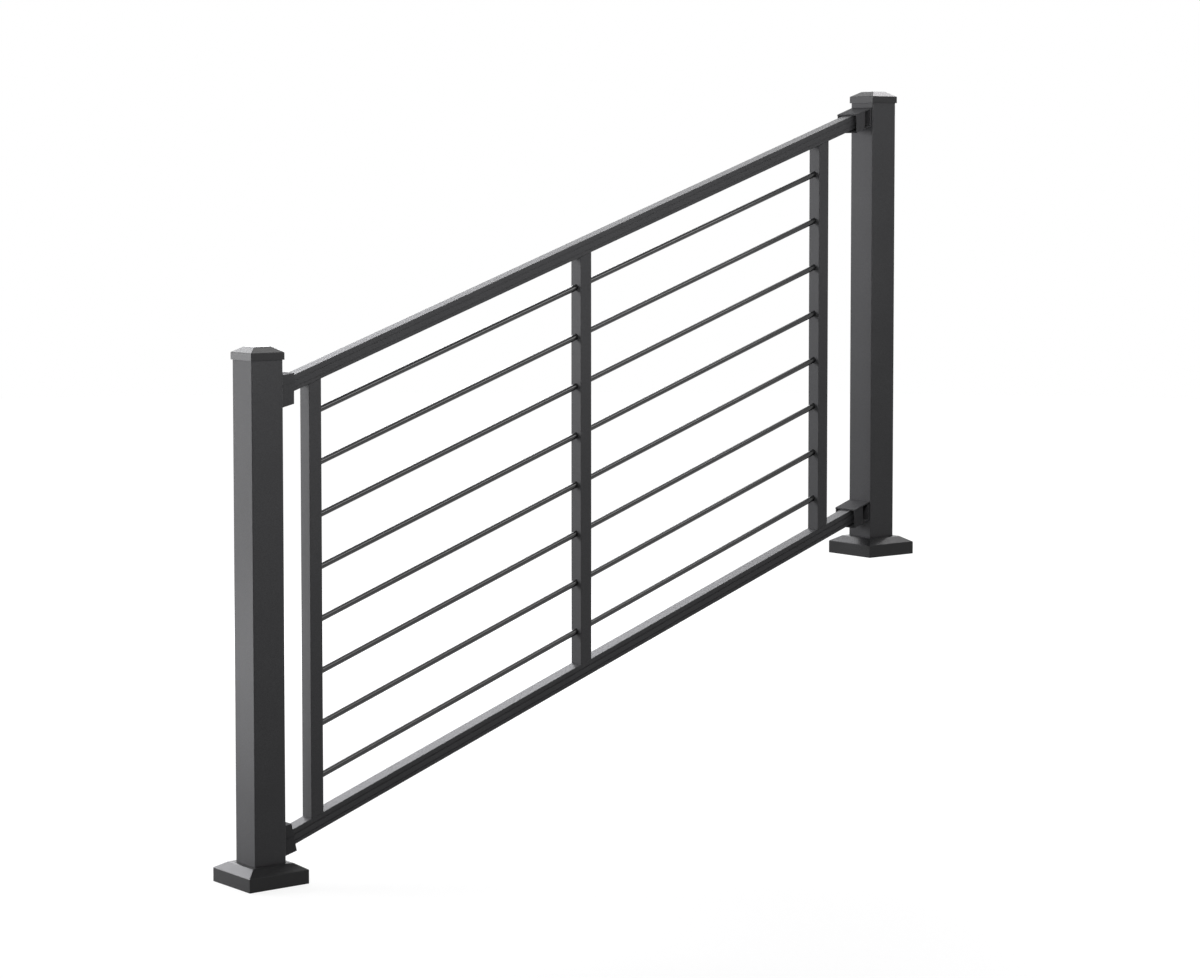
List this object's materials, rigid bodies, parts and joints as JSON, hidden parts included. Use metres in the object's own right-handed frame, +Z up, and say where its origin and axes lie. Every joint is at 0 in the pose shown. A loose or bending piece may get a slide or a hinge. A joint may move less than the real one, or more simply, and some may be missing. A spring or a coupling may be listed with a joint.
{
  "type": "aluminium stair railing",
  "caption": "Sloping stair railing: square posts with caps and base covers, two rails, uprights and round rods, fixed to the posts by collar brackets.",
  "frame": {"origin": "centre of the underside of the lower post's base plate", "axes": "+X from the lower post to the upper one, +Y across the railing, +Z up"},
  "size_m": [1.593, 0.122, 1.4115],
  "materials": {
    "coated_aluminium": "satin charcoal powder coat",
    "coated_rod": "semi-gloss charcoal powder coat",
    "coated_bracket": "matt charcoal powder coat",
    "coated_plate": "satin charcoal powder coat"
  },
  "bodies": {
    "root": {"lower_post": "coated_aluminium", "upper_post": "coated_aluminium", "lower_base_cover": "coated_aluminium", "upper_base_cover": "coated_aluminium", "lower_post_cap": "coated_aluminium", "upper_post_cap": "coated_aluminium", "top_rail": "coated_aluminium", "bottom_rail": "coated_aluminium", "lower_upright": "coated_aluminium", "middle_upright": "coated_aluminium", "upper_upright": "coated_aluminium", "lower_top_bracket": "coated_bracket", "lower_bottom_bracket": "coated_bracket", "upper_top_bracket": "coated_bracket", "upper_bottom_bracket": "coated_bracket", "rod_1": "coated_rod", "rod_2": "coated_rod", "rod_3": "coated_rod", "rod_4": "coated_rod", "rod_5": "coated_rod", "rod_6": "coated_rod", "rod_7": "coated_rod", "rod_8": "coated_rod", "lower_base_plate": "coated_plate", "upper_base_plate": "coated_plate"}
  },
  "joints": []
}
